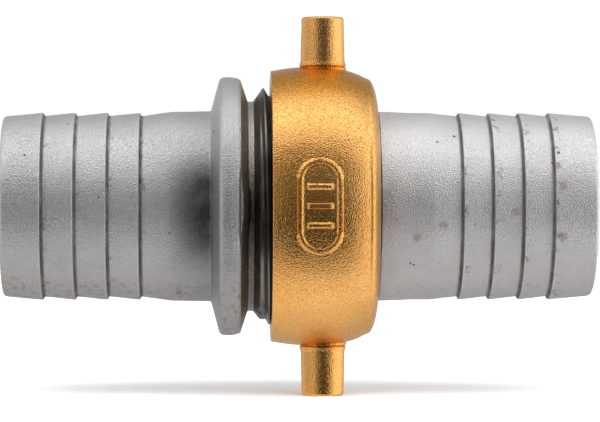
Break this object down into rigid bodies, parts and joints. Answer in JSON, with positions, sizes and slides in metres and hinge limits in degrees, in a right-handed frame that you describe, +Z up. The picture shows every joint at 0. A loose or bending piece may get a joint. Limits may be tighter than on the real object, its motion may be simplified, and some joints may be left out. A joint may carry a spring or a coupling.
{
  "type": "pin lug hose coupling",
  "caption": "Swivel hose coupling: barbed threaded shank with round collar, brass swivel nut with pin lugs, washer and barbed tail shank.",
  "frame": {"origin": "on the flow axis at the sealing plane, where the threaded shank's end meets the washer", "axes": "+X along the flow axis from the threaded shank to the tail shank, +Z up through the upper pin lug"},
  "size_m": [0.1249, 0.0599, 0.0806],
  "materials": {
    "plated_iron_male": "satin zinc plating over a fine sand-cast grain",
    "plated_iron_tail": "satin zinc plating over a fine sand-cast grain",
    "nut_brass": "bright cast brass with a pebbled grain",
    "washer_rubber": "matt black rubber"
  },
  "bodies": {
    "female_half": {"female_shank": "plated_iron_tail"},
    "nut": {"swivel_nut": "nut_brass"},
    "washer": {"gasket": "washer_rubber"},
    "male_half": {"male_shank": "plated_iron_male"}
  },
  "joints": [
    {"name": "nut_swivel", "type": "hinge", "parent": "female_half", "child": "nut", "pos_m": [0, 0, 0], "axis": [1, 0, 0], "continuous": true},
    {"name": "male_unscrew", "type": "hinge", "parent": "nut", "child": "washer", "pos_m": [0, 0, 0], "axis": [-1, 0, 0], "range_deg": [0, 1440]},
    {"name": "male_withdraw", "type": "slide", "parent": "washer", "child": "male_half", "axis": [-1, 0, 0], "range_m": [0, 0.0113]}
  ],
  "couplings": [
    {"joint": "male_withdraw", "follows": "male_unscrew", "m_per_rad": 0.00044913}
  ]
}
